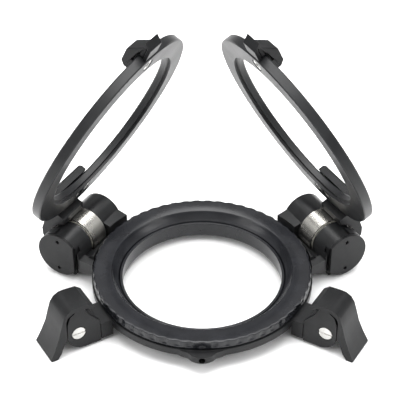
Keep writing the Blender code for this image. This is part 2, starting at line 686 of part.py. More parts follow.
def build():
    anodised = make_material("anodised_black", (0.045, 0.047, 0.05), 0.38, 0.8)
    anodised_grey = make_material("anodised_satin", (0.06, 0.062, 0.066), 0.33, 0.85)
    steel = make_material("stainless_steel", (0.62, 0.60, 0.56), 0.25, 1.0)
    spring_steel = make_material("spring_steel", (0.35, 0.35, 0.35), 0.3, 1.0)
    plastic = make_material("white_acetal", (0.8, 0.8, 0.77), 0.5, 0.0)

    add_part("base_ring", base_ring(), anodised)
    add_part("knurled_ring", knurl_ring(), anodised)
    add_part("thread_sleeve", thread_sleeve(), anodised)
    add_part("glide_ring", glide_ring(), plastic)
    add_part("lock_screw", lock_screw(), steel)

    fixed = [
        ("hinge_bracket", hinge_bracket, (), anodised),
        ("hinge_cap", hinge_cap, (), anodised),
        ("hinge_pin", hinge_pin, (), steel),
        ("hinge_nut", hinge_nut, (), steel),
        ("friction_washer", friction_washer, (), plastic),
    ]
    fixed += [(f"disc_spring_{index + 1}", disc_spring, (index,), spring_steel)
              for index in range(3)]
    flipping = [
        ("hinge_sleeve", hinge_sleeve, (), steel),
        ("hinge_hub", hinge_hub, (), anodised),
        ("lens_ring", lens_ring, (), anodised_grey),
        ("flip_arm", flip_arm, (), anodised),
        ("latch_tab", latch_tab, (), anodised),
        ("latch_catch", latch_catch, (), anodised),
    ]
    flipping += [(f"arm_screw_{index + 1}", arm_screw, (y,), steel)
                 for index, y in enumerate(ARM_SCREWS_Y)]
    flipping += [(f"ring_screw_{index + 1}", countersunk, values, steel)
                 for index, values in enumerate(RING_SCREWS)]
    latch_pieces = [
        ("latch_bracket", latch_bracket, (), anodised),
        ("latch_pin", latch_pin, (), steel),
        ("latch_spring", latch_spring, (), spring_steel),
        ("latch_lever", latch_lever, (), anodised),
    ]
    latch_pieces += [(f"bracket_screw_{index + 1}", bracket_screw, (z,), steel)
                     for index, z in enumerate(BRACKET_SCREWS_Z)]

    for side, hand in (("left", 1), ("right", -1)):
        hinge = make_empty(f"{side}_hinge_axis", hinge_place(hand), -HINGE_TURN * hand)
        swing = make_empty(f"{side}_flip_axis", (0.0, 0.0, 0.0), 0.0, hinge, -OPEN_ANGLE * hand)
        latch = make_empty(f"{side}_latch_axis", latch_place(hand), latch_heading(hand))
        for pieces, parent, flip in (
                (fixed, hinge, hand < 0), (flipping, swing, hand < 0),
                (latch_pieces, latch, hand > 0)):
            for name, maker, values, material in pieces:
                mesh = maker(*values)
                add_part(f"{side}_{name}", mirrored(mesh) if flip else mesh, material, parent)


clear_scene()
parts = make_collection(COLLECTION)
cutters = make_collection("cutters")
build()
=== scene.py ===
"""Looks of the double flip lens holder: finer pieces, finishes, floor, light and camera."""

import math

import bmesh
import bpy
from mathutils import Matrix, Vector


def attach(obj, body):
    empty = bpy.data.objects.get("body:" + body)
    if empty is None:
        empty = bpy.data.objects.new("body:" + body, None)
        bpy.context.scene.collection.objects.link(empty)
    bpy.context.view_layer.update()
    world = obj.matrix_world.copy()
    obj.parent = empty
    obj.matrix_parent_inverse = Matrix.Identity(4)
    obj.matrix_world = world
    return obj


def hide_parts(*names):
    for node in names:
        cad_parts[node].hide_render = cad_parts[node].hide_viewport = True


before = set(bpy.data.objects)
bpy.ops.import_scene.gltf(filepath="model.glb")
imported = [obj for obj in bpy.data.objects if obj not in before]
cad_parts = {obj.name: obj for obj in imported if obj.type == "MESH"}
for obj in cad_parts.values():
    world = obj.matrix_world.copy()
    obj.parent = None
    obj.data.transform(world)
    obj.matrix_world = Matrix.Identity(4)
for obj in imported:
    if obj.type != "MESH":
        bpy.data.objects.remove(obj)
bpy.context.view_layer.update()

MM = 0.001
GAP = 0.3                      # clearance between pieces that touch
AXIS_STEPS = 192               # facets of the large turned pieces
SMALL_STEPS = 64               # facets of a rod that is called without its own count
FINER = 3                      # multiplies the facet count that a rod is called with
MERGE_DISTANCE = 0.000001      # metres
SHARP_ANGLE = math.radians(38.0)
BEVEL_ANGLE = math.radians(34.0)
BEVEL_SEGMENTS = 3

# Port ring
TOP_Z = 7.3                    # top face of the knurled ring above the seat
KNURL_RADIUS = 44.05
KNURL_COUNT = 56
SCALLOP_DEPTH = 0.42
SCALLOP_START_Z = 0.75         # above the ring's underside
KNURL_BASE_Z = 3.8
FLAT_INNER_RADIUS = 36.6       # where the flat top meets the funnel
FUNNEL_RADIUS = 33.7           # small end of the funnel, and bore of the neck
FUNNEL_Z = TOP_Z - 3.3
BASE_RADIUS = 44.6
BASE_TOP_Z = 3.5
BASE_BORE_RADIUS = 36.0
FLANGE_RADIUS = 38.0
FLANGE_TOP_Z = 1.3
THREAD_RADIUS = 33.5           # 67 mm port thread
SLEEVE_BORE_RADIUS = 32.2
SLEEVE_BOTTOM_Z = TOP_Z - 10.1
GROOVE_RADII = (38.7, 41.8)    # groove of the glide ring
GROOVE_Z = 2.4
FLOOR_Z = -5.6                 # the surface that the hinge feet and the lever tails rest on

# Index boss
BOSS_REACH = 48.3
BOSS_RADIUS = 6.6
LOCK_SCREW_RADIUS = 1.0

# Hinges: x points to the optical axis, y to the rear, z up, from the hinge axis
HINGE_RHO = 56.0
HINGE_Z = TOP_Z - 2.0
HINGE_TURN = math.radians(30.0)
COLLAR_RADIUS = 9.8
BARREL_RADIUS = 8.8
REAR_KNUCKLE_RADIUS = 9.2
CAP_FACE_Y = -21.0
CAP_THICKNESS = 1.3
COLLAR_Y = (CAP_FACE_Y + CAP_THICKNESS + GAP, -15.4)
BARREL_END_Y = -9.3
REAR_KNUCKLE_Y = (0.6, 12.2)
SLEEVE_Y = (-8.4, 0.3)
HINGE_SLEEVE_RADIUS = 9.6
HUB_RADIUS = 7.0
PIN_RADIUS = 2.0
CHAMBER_RADIUS = 6.0
CHAMBER_FLOOR_Y = -13.0

# Lens rings, in the hinge frame with the ring closed
OPEN_ANGLE = math.radians(65.0)
RING_Z = (9.0, 13.2)           # underside and top side above the hinge axis
RING_RADIUS = 44.8
LENS_BORE_RADIUS = 35.0
ARM_TOP_Z = 17.0
ARM_FOOT_Y = (-13.6, 0.2)
ARM_BLOCK_Y = (-12.0, 6.5)
ARM_BLOCK_X = (11.0, 21.5)
ARM_SCREWS_Y = (-6.3, -2.1)
TAB_Y = (-3.6, 3.6)
TAB_TOP_Z = 18.4
CATCH_HALF_WIDTH = 4.1
CATCH_HEEL = (106.3, 10.9)     # inner corner of the catch, where the tab's end sits
# place of each screw through the ring, and the radius of its head
RING_SCREWS = (((16.6, -3.0), 2.0), ((16.6, 3.0), 2.0), ((96.4, 0.0), 2.4))

# Latches: x points away from the optical axis, y to the rear, z up, from the latch pivot
LATCH_RHO = 58.5
LATCH_Z = TOP_Z - 4.2
LATCH_TURN = math.radians(30.0)
LEVER_HALF_WIDTH = 6.3
TAIL_FLARE = 0.7
CHEEK_HALF_WIDTH = 6.0
SLOT_HALF_WIDTH = 4.4
ARM_END_X = -9.6               # joint face between the port ring's stub and the bracket
STUB_TOP_Z = 0.5
CHEEK_TOP_Z = 11.0
NOSE_Z = 10.3                  # underside of the hook
PIVOT_RADIUS = 1.5
BRACKET_SCREWS_Z = (-4.9, -1.3)
BRACKET_BOTTOM_Z = -7.8
HEAD_SEAT_RADIUS = 3.1
HEAD_SEAT_DEPTH = 0.9
SCREW_HOLE_RADIUS = 1.3        # clearance hole of every small screw
SCREW_SHANK_RADIUS = 1.0


# ---------------------------------------------------------------- mesh helpers

def mesh_from(bm, name):
    bmesh.ops.recalc_face_normals(bm, faces=bm.faces)
    mesh = bpy.data.meshes.new(name)
    bm.to_mesh(mesh)
    bm.free()
    return mesh


def evaluated(obj):
    """The object's mesh with its modifiers applied."""
    bpy.context.view_layer.update()
    graph = bpy.context.evaluated_depsgraph_get()
    mesh = bpy.data.meshes.new_from_object(obj.evaluated_get(graph))
    bpy.data.objects.remove(obj, do_unlink=True)
    return mesh


def loose_object(mesh):
    obj = bpy.data.objects.new(mesh.name, mesh)
    bpy.context.scene.collection.objects.link(obj)
    return obj


def turned(profile, steps):
    """A closed (radius, z) outline turned about Z by a Screw modifier."""
    bm = bmesh.new()
    verts = [bm.verts.new((r * MM, 0.0, z * MM)) for r, z in profile]
    for start, end in zip(verts, verts[1:] + verts[:1]):
        bm.edges.new((start, end))
    mesh = bpy.data.meshes.new("profile")
    bm.to_mesh(mesh)
    bm.free()
    obj = loose_object(mesh)
    screw = obj.modifiers.new("turn", "SCREW")
    screw.steps = steps
    screw.render_steps = steps
    screw.use_merge_vertices = True
    screw.merge_threshold = 0.00001
    result = evaluated(obj)
    bm = bmesh.new()
    bm.from_mesh(result)
    bmesh.ops.remove_doubles(bm, verts=bm.verts, dist=MERGE_DISTANCE)
    bpy.data.meshes.remove(result)
    return mesh_from(bm, "turned")


def box(x, y, z):
    """A box between the given pairs of limits."""
    bm = bmesh.new()
    bmesh.ops.create_cube(bm, size=1.0)
    sizes = [(high - low) * MM for low, high in (x, y, z)]
    centre = [(high + low) / 2 * MM for low, high in (x, y, z)]
    bmesh.ops.scale(bm, vec=sizes, verts=bm.verts)
    bmesh.ops.translate(bm, vec=centre, verts=bm.verts)
    return mesh_from(bm, "box")


def rod(radius, limits, axis="Y", centre=(0.0, 0.0), steps=SMALL_STEPS):
    """A cylinder along an axis; centre holds the other two coordinates in order."""
    low, high = limits
    bm = bmesh.new()
    bmesh.ops.create_cone(
        bm, cap_ends=True, segments=steps * FINER, radius1=radius * MM, radius2=radius * MM,
        depth=(high - low) * MM)
    bmesh.ops.translate(bm, vec=(0.0, 0.0, (high + low) / 2 * MM), verts=bm.verts)
    to_axis = {
        "X": Matrix(((0, 0, 1), (1, 0, 0), (0, 1, 0))),
        "Y": Matrix(((0, 1, 0), (0, 0, 1), (1, 0, 0))),
        "Z": Matrix.Identity(3),
    }[axis]
    bmesh.ops.transform(bm, matrix=to_axis.to_4x4(), verts=bm.verts)
    first, second = centre
    shift = {"X": (0, first, second), "Y": (first, 0, second), "Z": (first, second, 0)}[axis]
    bmesh.ops.translate(bm, vec=[value * MM for value in shift], verts=bm.verts)
    return mesh_from(bm, "rod")


def plate(outline, limits, plane="XZ"):
    """A flat outline, filled and extruded between two limits square to its plane."""
    low, high = limits
    curve = bpy.data.curves.new("outline", "CURVE")
    curve.dimensions = "2D"
    curve.fill_mode = "BOTH"
    curve.extrude = (high - low) / 2 * MM
    spline = curve.splines.new("POLY")
    spline.points.add(len(outline) - 1)
    for point, (first, second) in zip(spline.points, outline):
        point.co = (first * MM, second * MM, 0.0, 1.0)
    spline.use_cyclic_u = True
    obj = bpy.data.objects.new("outline", curve)
    bpy.context.scene.collection.objects.link(obj)
    mesh = evaluated(obj)
    mesh.transform(Matrix.Translation((0.0, 0.0, (high + low) / 2 * MM)))
    if plane == "XZ":
        mesh.transform(Matrix(((1, 0, 0), (0, 0, 1), (0, 1, 0))).to_4x4())
    bm = bmesh.new()
    bm.from_mesh(mesh)
    bmesh.ops.remove_doubles(bm, verts=bm.verts, dist=MERGE_DISTANCE)
    bpy.data.meshes.remove(mesh)
    return mesh_from(bm, "plate")


def arc(centre, radius, start, end, count):
    """Points on an arc, angles in degrees."""
    points = []
    for step in range(count + 1):
        angle = math.radians(start + (end - start) * step / count)
        points.append((centre[0] + radius * math.cos(angle), centre[1] + radius * math.sin(angle)))
    return points


def boolean(base, others, operation):
    """The base mesh joined with, or cut by, the other meshes one after another."""
    for other in others:
        body = loose_object(base)
        tool = loose_object(other)
        modifier = body.modifiers.new(operation.lower(), "BOOLEAN")
        modifier.operation = operation
        modifier.object = tool
        base = evaluated(body)
        bpy.data.objects.remove(tool, do_unlink=True)
    return base


def joined(base, *others):
    return boolean(base, others, "UNION")


def cut(base, *others):
    return boolean(base, others, "DIFFERENCE")


def moved(mesh, x=0.0, y=0.0, z=0.0):
    mesh.transform(Matrix.Translation((x * MM, y * MM, z * MM)))
    return mesh


def mirrored(mesh):
    """The same piece for the other hand, mirrored in x."""
    copy = mesh.copy()
    copy.transform(Matrix.Diagonal((-1.0, 1.0, 1.0, 1.0)))
    copy.flip_normals()
    return copy


def handed(mesh, hand):
    """A piece as modelled for hand 1, or mirrored for hand -1."""
    return mesh if hand > 0 else mirrored(mesh)


# ---------------------------------------------------------------- port ring

def knurl_ring():
    """Grip ring: a flat turned top, hollow funnel, and finger scallops milled into its rim."""
    neck_outer = BASE_BORE_RADIUS - GAP
    funnel = [(FUNNEL_RADIUS + 2.9 * t, FUNNEL_Z + 3.1 * t ** 1.35) for t in
              (0.06, 0.15, 0.28, 0.42, 0.58, 0.74, 0.88)]
    rim = [TOP_Z - 0.4 - 0.25 * step for step in range(12)]
    profile = [(FLAT_INNER_RADIUS - 0.05, TOP_Z - 0.12), (FLAT_INNER_RADIUS + 0.15, TOP_Z)]
    profile += [(KNURL_RADIUS - 1.1, TOP_Z), (KNURL_RADIUS - 0.45, TOP_Z)]
    profile += [(KNURL_RADIUS - 0.15, TOP_Z - 0.12)]
    profile += [(KNURL_RADIUS, z) for z in rim]
    profile += [(KNURL_RADIUS - 0.2, KNURL_BASE_Z), (neck_outer, KNURL_BASE_Z)]
    profile += [(neck_outer, FLANGE_TOP_Z + GAP), (FUNNEL_RADIUS, FLANGE_TOP_Z + GAP)]
    profile += [(FUNNEL_RADIUS, FUNNEL_Z - 0.2)] + funnel
    ring = turned(profile, KNURL_COUNT * 12)
    edge = (KNURL_RADIUS - 0.8) * MM
    for vertex in ring.vertices:
        radius = math.hypot(vertex.co.x, vertex.co.y)
        if radius > edge and vertex.co.z > (KNURL_BASE_Z + SCALLOP_START_Z) * MM:
            turn = math.atan2(vertex.co.y, vertex.co.x) * KNURL_COUNT
            hollow = max(0.0, math.cos(turn) + 0.25) / 1.25
            fade = min(1.0, (vertex.co.z / MM - KNURL_BASE_Z - SCALLOP_START_Z) / 0.5)
            scale = 1.0 - SCALLOP_DEPTH * MM * hollow ** 0.7 * fade / radius
            vertex.co.x *= scale
            vertex.co.y *= scale
    return ring


def thread_sleeve():
    """Threaded tube with the flange that seats on the port."""
    top = FUNNEL_Z - 0.1
    profile = [
        (SLEEVE_BORE_RADIUS, top),
        (THREAD_RADIUS - 0.15, top),
        (THREAD_RADIUS - 0.15, FLANGE_TOP_Z),
        (FLANGE_RADIUS, FLANGE_TOP_Z),
        (FLANGE_RADIUS, 0.0),
        (THREAD_RADIUS + 0.15, 0.0),
        (THREAD_RADIUS, -0.3),
        (THREAD_RADIUS, SLEEVE_BOTTOM_Z + 0.4),
        (THREAD_RADIUS - 0.4, SLEEVE_BOTTOM_Z),
        (SLEEVE_BORE_RADIUS + 0.3, SLEEVE_BOTTOM_Z),
    ]
    return turned(profile, AXIS_STEPS)


def hinge_block():
    """Foot, two arms, web, collar, barrel and rear knuckle of one hinge, in the hinge frame."""
    low = FLOOR_Z - HINGE_Z
    front_y = (COLLAR_Y[0] + 0.4, COLLAR_Y[1] + 0.4)
    rear_y = (REAR_KNUCKLE_Y[0] + 0.5, REAR_KNUCKLE_Y[1] - 0.4)
    front = [(2.0, -7.6), (9.0, -6.8), (19.0, -4.8), (19.0, -1.0), (8.4, -0.4), (2.0, 1.0)]
    rear = [
        (2.0, -7.6), (9.0, -6.8), (19.0, -4.8), (19.0, 1.8), (13.0, 3.4), (7.0, 5.0),
        (2.0, 5.0)]
    web = [
        (6.0, -7.1), (9.0, -6.8), (19.0, -4.8), (19.0, 1.4), (12.4, 0.6), (9.4, -1.6),
        (6.0, -2.4)]
    foot = [(-0.8, low), (5.6, low), (6.8, -6.4), (4.0, -3.0), (-2.4, -7.0)]
    relief = rod(BARREL_RADIUS + 1.15, (BARREL_END_Y, REAR_KNUCKLE_Y[0]), steps=56)
    collar = rod(COLLAR_RADIUS, COLLAR_Y, steps=56)
    collar = cut(collar, box((-2.6, 12.0), (-30.0, 0.0), (-6.2, 12.0)))
    barrel = rod(BARREL_RADIUS, (COLLAR_Y[0] + 0.2, BARREL_END_Y), steps=48)
    knuckle = rod(REAR_KNUCKLE_RADIUS, REAR_KNUCKLE_Y, steps=48)
    web_y = (COLLAR_Y[1], rear_y[0] + 0.6)
    block = joined(barrel, collar, plate(front, front_y), plate(web, web_y))
    block = cut(block, relief)
    block = joined(block, plate(rear, rear_y), knuckle)
    block = joined(block, plate(foot, (COLLAR_Y[0] + 2.0, BARREL_END_Y - 0.4)),
                   plate(foot, (REAR_KNUCKLE_Y[0] + 0.8, REAR_KNUCKLE_Y[1] - 1.6)))
    notch = box((7.3, 8.3), (-30.0, COLLAR_Y[0] + 2.6), (-20.0, 20.0))
    chamber = rod(CHAMBER_RADIUS, (CAP_FACE_Y - 2.0, CHAMBER_FLOOR_Y))
    pin_hole = rod(PIN_RADIUS + GAP, (CAP_FACE_Y - 3.0, REAR_KNUCKLE_Y[1] - 1.4), steps=20)
    return cut(block, notch, chamber, pin_hole)


def latch_arm():
    """Stub of the port ring that carries one latch bracket, in the latch frame."""
    width = (-CHEEK_HALF_WIDTH, CHEEK_HALF_WIDTH)
    arm = box((-20.0, ARM_END_X), width, (BRACKET_BOTTOM_Z + 0.7, STUB_TOP_Z))
    holes = [rod(SCREW_HOLE_RADIUS, (-14.0, 0.0), "X", (0.0, z), 12) for z in BRACKET_SCREWS_Z]
    return cut(arm, *holes)


def boss_outline():
    """Blunt, round-ended index boss with hollow flanks."""
    nose = arc((0.0, -BOSS_REACH + BOSS_RADIUS), BOSS_RADIUS, 213, 327, 10)
    left = [(-11.6, -42.2), (-9.4, -43.3), (-7.4, -44.6)]
    right = [(-x, y) for x, y in reversed(left)]
    return left + nose + right


def trimmed(block):
    """A stub cut back to the band, clear of the knurled ring and of the port."""
    centre = rod(42.6, (-40.0, 40.0), "Z", steps=AXIS_STEPS // FINER)
    below = rod(BASE_RADIUS - 0.3, (-30.0, 0.3), "Z", steps=AXIS_STEPS // FINER)
    above = rod(KNURL_RADIUS + 0.33, (BASE_TOP_Z - 0.3, 30.0), "Z", steps=AXIS_STEPS // FINER)
    return cut(block, centre, below, above)


def base_ring():
    """Band with the index boss and both latch stubs."""
    inner, outer = GROOVE_RADII
    step = FLANGE_TOP_Z + GAP
    body = turned([
        (outer, BASE_TOP_Z), (BASE_RADIUS - 0.2, BASE_TOP_Z), (BASE_RADIUS, BASE_TOP_Z - 0.2),
        (BASE_RADIUS, 0.5), (BASE_RADIUS - 0.5, 0.0), (FLANGE_RADIUS + GAP, 0.0),
        (FLANGE_RADIUS + GAP, step), (BASE_BORE_RADIUS, step), (BASE_BORE_RADIUS, BASE_TOP_Z),
        (inner, BASE_TOP_Z), (inner, GROOVE_Z), (outer, GROOVE_Z)], AXIS_STEPS)
    lock_hole = rod(LOCK_SCREW_RADIUS + GAP, (-60.0, -43.5), "Y", (0.0, BASE_TOP_Z / 2), 16)
    boss = cut(plate(boss_outline(), (0.25, BASE_TOP_Z - 0.25), "XY"), lock_hole)
    body = joined(body, boss)
    for hand in (1, -1):
        body = joined(body, trimmed(place_latch(handed(latch_arm(), -hand), hand)))
    return body


def hinge_bracket():
    """Hinge cradle shaped to the band's outside, in the hinge frame."""
    band = rod(BASE_RADIUS + GAP, (-40.0, 40.0), "Z", (HINGE_RHO, 0.0), AXIS_STEPS)
    return cut(hinge_block(), band)


# ---------------------------------------------------------------- frames

def hinge_place(hand):
    return (-hand * HINGE_RHO * math.cos(HINGE_TURN), HINGE_RHO * math.sin(HINGE_TURN), HINGE_Z)


def latch_place(hand):
    along = Vector((-hand * math.cos(LATCH_TURN), -math.sin(LATCH_TURN), 0.0))
    return tuple(along * LATCH_RHO + Vector((0.0, 0.0, LATCH_Z)))


def latch_heading(hand):
    return LATCH_TURN * hand


def place_latch(mesh, hand):
    """A latch piece already mirrored for its hand, moved to its place on the ring."""
    mesh.transform(Matrix.Rotation(latch_heading(hand), 4, "Z"))
    return moved(mesh, *latch_place(hand))


# ---------------------------------------------------------------- hinge pieces

def hinge_cap():
    """Round cover with a flat side and two holes for a pin spanner."""
    end = CAP_FACE_Y + CAP_THICKNESS
    face = rod(COLLAR_RADIUS, (CAP_FACE_Y, end), steps=32)
    spigot = rod(CHAMBER_RADIUS - GAP, (CAP_FACE_Y + 0.5, CAP_FACE_Y + 3.1))
    flat = box((7.5, 20.0), (CAP_FACE_Y - 2.0, end + 0.5), (-20.0, 20.0))
    holes = [
        rod(0.75, (CAP_FACE_Y - 1.0, CAP_FACE_Y + 1.0), "Y", (0.0, z), 8)
        for z in (6.75, -6.75)]
    return cut(joined(face, spigot), flat, *holes)


def hinge_pin():
    """Pin through both knuckles, with a screwdriver slot in its front end."""
    shank = rod(PIN_RADIUS, (-17.5, 10.5), steps=12)
    return cut(shank, box((-0.4, 0.4), (-18.0, -16.9), (-3.0, 3.0)))


def hinge_sleeve():
    """Stainless sleeve around the hinge's hub."""
    tube = rod(HINGE_SLEEVE_RADIUS, SLEEVE_Y, steps=32)
    tube = cut(tube, rod(HUB_RADIUS + GAP, (-12.0, 4.0), steps=32))
    return cut(tube, *arm_screw_holes())


def arm_screw_holes():
    return [rod(SCREW_HOLE_RADIUS, (5.0, 30.0), "Z", (0.0, y), 8) for y in ARM_SCREWS_Y]


# ---------------------------------------------------------------- lens ring pieces

def lens_ring():
    """Lens ring with a stepped bore, and countersinks for the arm and tab screws."""
    low, high = RING_Z
    bore = LENS_BORE_RADIUS
    profile = [
        (bore + 0.6, high), (RING_RADIUS - 0.5, high), (RING_RADIUS, high - 0.5),
        (RING_RADIUS, low + 0.4), (RING_RADIUS - 0.4, low), (bore + 1.3, low),
        (bore + 1.3, low + 1.1), (bore, low + 1.4), (bore, high - 0.6)]
    ring = moved(turned(profile, AXIS_STEPS), x=HINGE_RHO)
    holes = [
        rod(SCREW_HOLE_RADIUS, (low - 1.0, high + 1.0), "Z", place, 8)
        for place, _ in RING_SCREWS]
    heads = [
        rod(head + GAP, (low - 1.0, low + 1.5), "Z", place, 12)
        for place, head in RING_SCREWS]
    return cut(ring, *holes, *heads)


def countersunk(place, head_radius):
    """Screw that comes up through the lens ring into the arm or the tab."""
    low, high = RING_Z
    head = rod(head_radius, (low + 0.2, low + 1.2), "Z", place, 12)
    shank = rod(SCREW_SHANK_RADIUS, (low + 1.0, high + 2.2), "Z", place, 8)
    socket = rod(0.45 * head_radius, (low - 1.0, low + 0.8), "Z", place, 6)
    return cut(joined(head, shank), socket)


def flip_arm():
    """Arm over the sleeve: a foot that hugs the hinge, and a block that clamps the lens ring."""
    over = RING_Z[1] + GAP
    saddle = HINGE_SLEEVE_RADIUS + GAP
    edge = HINGE_RHO - RING_RADIUS - GAP
    foot = arc((0.0, 0.0), saddle, 116, 34, 12)
    foot += [(edge, 6.4), (edge, over + 0.5), (edge - 2.0, 14.8), (5.5, 14.2), (-1.6, 13.4),
             (-4.6, 11.8), (-5.4, 10.2)]
    left, right = ARM_BLOCK_X
    block = [
        (edge - 0.1, over), (right, over), (right, ARM_TOP_Z - 1.2), (right - 1.2, ARM_TOP_Z),
        (left + 0.4, ARM_TOP_Z), (left - 2.4, 14.9), (left - 2.4, over - 2.6),
        (edge - 0.1, over - 2.6)]
    arm = joined(plate(foot, ARM_FOOT_Y), plate(block, ARM_BLOCK_Y))
    holes = arm_screw_holes()
    heads = [rod(2.2, (12.6, 30.0), "Z", (0.0, y), 16) for y in ARM_SCREWS_Y]
    taps = [
        rod(SCREW_HOLE_RADIUS, (6.0, over + 2.6), "Z", place, 12)
        for place, _ in RING_SCREWS[:2]]
    return cut(arm, *holes, *heads, *taps)


def arm_screw(y):
    """Socket screw that holds the arm to the sleeve and the hub."""
    head = rod(1.9, (12.9, 14.0), "Z", (0.0, y), 10)
    shank = rod(SCREW_SHANK_RADIUS, (5.2, 13.0), "Z", (0.0, y), 8)
    socket = rod(0.9, (13.3, 15.0), "Z", (0.0, y), 6)
    return cut(joined(head, shank), socket)


def latch_tab():
    """Wedge-shaped tab that is pressed to close the ring."""
    over = RING_Z[1] + GAP
    edge = HINGE_RHO + RING_RADIUS + GAP
    end, under = CATCH_HEEL[0] - GAP, CATCH_HEEL[1] + GAP
    outline = [
        (91.8, over), (91.8, TAB_TOP_Z - 1.8), (93.6, TAB_TOP_Z), (100.0, TAB_TOP_Z),
        (end, under + 0.9), (end, under), (edge, under), (edge, over)]
    place = RING_SCREWS[2][0]
    return cut(plate(outline, TAB_Y), rod(SCREW_HOLE_RADIUS, (6.0, over + 2.6), "Z", place, 8))


def latch_catch():
    """Hard lip at the tab's end, with a slanted nose that the latch's hook holds down."""
    edge = HINGE_RHO + RING_RADIUS + GAP
    low = RING_Z[0] + 0.4
    heel_x, heel_z = CATCH_HEEL
    outline = [
        (edge, low), (heel_x - 0.1, low), (heel_x + 2.1, low + 3.2), (heel_x, low + 2.9),
        (heel_x, heel_z), (edge, heel_z)]
    return plate(outline, (-CATCH_HALF_WIDTH, CATCH_HALF_WIDTH))


# ---------------------------------------------------------------- latch pieces

def latch_bracket():
    """Clevis: two round-ended cheeks joined by a web, bolted to the port ring's stub."""
    left = ARM_END_X + GAP
    low = BRACKET_BOTTOM_Z
    outline = [
        (left, low), (left, STUB_TOP_Z + 1.9), (-4.9, 7.6), (-3.0, CHEEK_TOP_Z),
        (1.0, CHEEK_TOP_Z)]
    outline += [(3.3, 9.4), (4.5, 6.0), (4.7, 1.0)]
    outline += arc((-2.3, low + 7.0), 7.0, 0, -90, 9)
    body = plate(outline, (-CHEEK_HALF_WIDTH, CHEEK_HALF_WIDTH))
    slot = (-SLOT_HALF_WIDTH, SLOT_HALF_WIDTH)
    gap = box((-6.2, 20.0), slot, (-20.0, 20.0))
    mouth = box((left - 1.0, 20.0), slot, (STUB_TOP_Z + 0.4, 20.0))
    holes = [rod(SCREW_HOLE_RADIUS, (left - 1.0, 0.0), "X", (0.0, z), 12) for z in BRACKET_SCREWS_Z]
    bore = rod(PIVOT_RADIUS + 0.1, (-20.0, 20.0), steps=20)
    seat = rod(HEAD_SEAT_RADIUS, (-20.0, HEAD_SEAT_DEPTH - CHEEK_HALF_WIDTH), steps=24)
    return cut(body, gap, mouth, bore, seat, *holes)


def latch_lever():
    """Lever: hub between the cheeks, roof with the hook, and a flared tail for the thumb."""
    sides = (-LEVER_HALF_WIDTH, LEVER_HALF_WIDTH)
    inner = (-SLOT_HALF_WIDTH + GAP, SLOT_HALF_WIDTH - GAP)
    under = CHEEK_TOP_Z + GAP
    low = FLOOR_Z - LATCH_Z
    shell = [
        (-7.0, NOSE_Z), (-7.2, NOSE_Z + 0.6), (-4.8, 12.9), (0.0, 13.3), (2.4, 13.2),
        (4.6, 12.0), (6.1, 9.8), (7.4, 5.6), (8.5, 1.6), (10.6, -3.6), (12.9, low + 0.6),
        (12.4, low), (10.0, low), (8.2, -6.4), (6.9, -3.4), (5.3, -0.9), (5.1, 2.0), (5.2, 7.5),
        (4.4, 9.8), (2.0, under), (-4.4, under), (-5.0, NOSE_Z)]
    web = [(-3.5, 0.0)] + arc((0.0, 0.0), 3.6, 185, 330, 8)
    web += [(5.8, -1.0), (5.8, 8.4), (3.4, 12.0), (-3.5, 12.2)]
    body = joined(plate(shell, sides), plate(web, inner))
    side_start = (LEVER_HALF_WIDTH - 0.1) * MM
    for vertex in body.vertices:
        share = min(1.0, max(0.0, (1.0 * MM - vertex.co.z) / (9.0 * MM)))
        if abs(vertex.co.y) > side_start:
            vertex.co.y += math.copysign(share * TAIL_FLARE * MM, vertex.co.y)
    coil_room = rod(3.0, (-1.7, 1.7), steps=24)
    return cut(body, coil_room, rod(PIVOT_RADIUS + GAP, (-20.0, 20.0), steps=20))


def latch_pin():
    """Pivot screw whose slotted head sits in the front cheek."""
    front = -CHEEK_HALF_WIDTH
    seat = front + HEAD_SEAT_DEPTH
    head = rod(HEAD_SEAT_RADIUS - GAP, (front + 0.05, seat - GAP), steps=24)
    shank = rod(PIVOT_RADIUS, (seat - 0.5, CHEEK_HALF_WIDTH - 0.2), steps=20)
    slot = box((-4.0, 4.0), (front - 2.0, front + 0.35), (-0.45, 0.45))
    return cut(joined(head, shank), slot)


# ---------------------------------------------------------------- finishes

def noise_node(tree, coords, scale, detail=4.0, stretch=(1.0, 1.0, 1.0), offset=(0.0, 0.0, 0.0)):
    mapping = tree.nodes.new("ShaderNodeMapping")
    mapping.inputs["Scale"].default_value = stretch
    mapping.inputs["Location"].default_value = offset
    noise = tree.nodes.new("ShaderNodeTexNoise")
    noise.inputs["Scale"].default_value = scale
    noise.inputs["Detail"].default_value = detail
    tree.links.new(coords, mapping.inputs["Vector"])
    tree.links.new(mapping.outputs["Vector"], noise.inputs["Vector"])
    return noise.outputs["Fac"]


def ramp_node(tree, value, stops):
    ramp = tree.nodes.new("ShaderNodeValToRGB")
    elements = ramp.color_ramp.elements
    while len(elements) < len(stops):
        elements.new(0.5)
    for element, (position, colour) in zip(elements, stops):
        element.position = position
        element.color = (*colour, 1.0)
    tree.links.new(value, ramp.inputs["Fac"])
    return ramp.outputs["Color"]


def range_node(tree, value, low, high, start=0.3, end=0.7):
    node = tree.nodes.new("ShaderNodeMapRange")
    node.inputs["From Min"].default_value = start
    node.inputs["From Max"].default_value = end
    node.inputs["To Min"].default_value = low
    node.inputs["To Max"].default_value = high
    tree.links.new(value, node.inputs["Value"])
    return node.outputs["Result"]


def bump_node(tree, height, distance, strength, below=None):
    bump = tree.nodes.new("ShaderNodeBump")
    bump.inputs["Distance"].default_value = distance
    bump.inputs["Strength"].default_value = strength
    tree.links.new(height, bump.inputs["Height"])
    if below is not None:
        tree.links.new(below, bump.inputs["Normal"])
    return bump.outputs["Normal"]


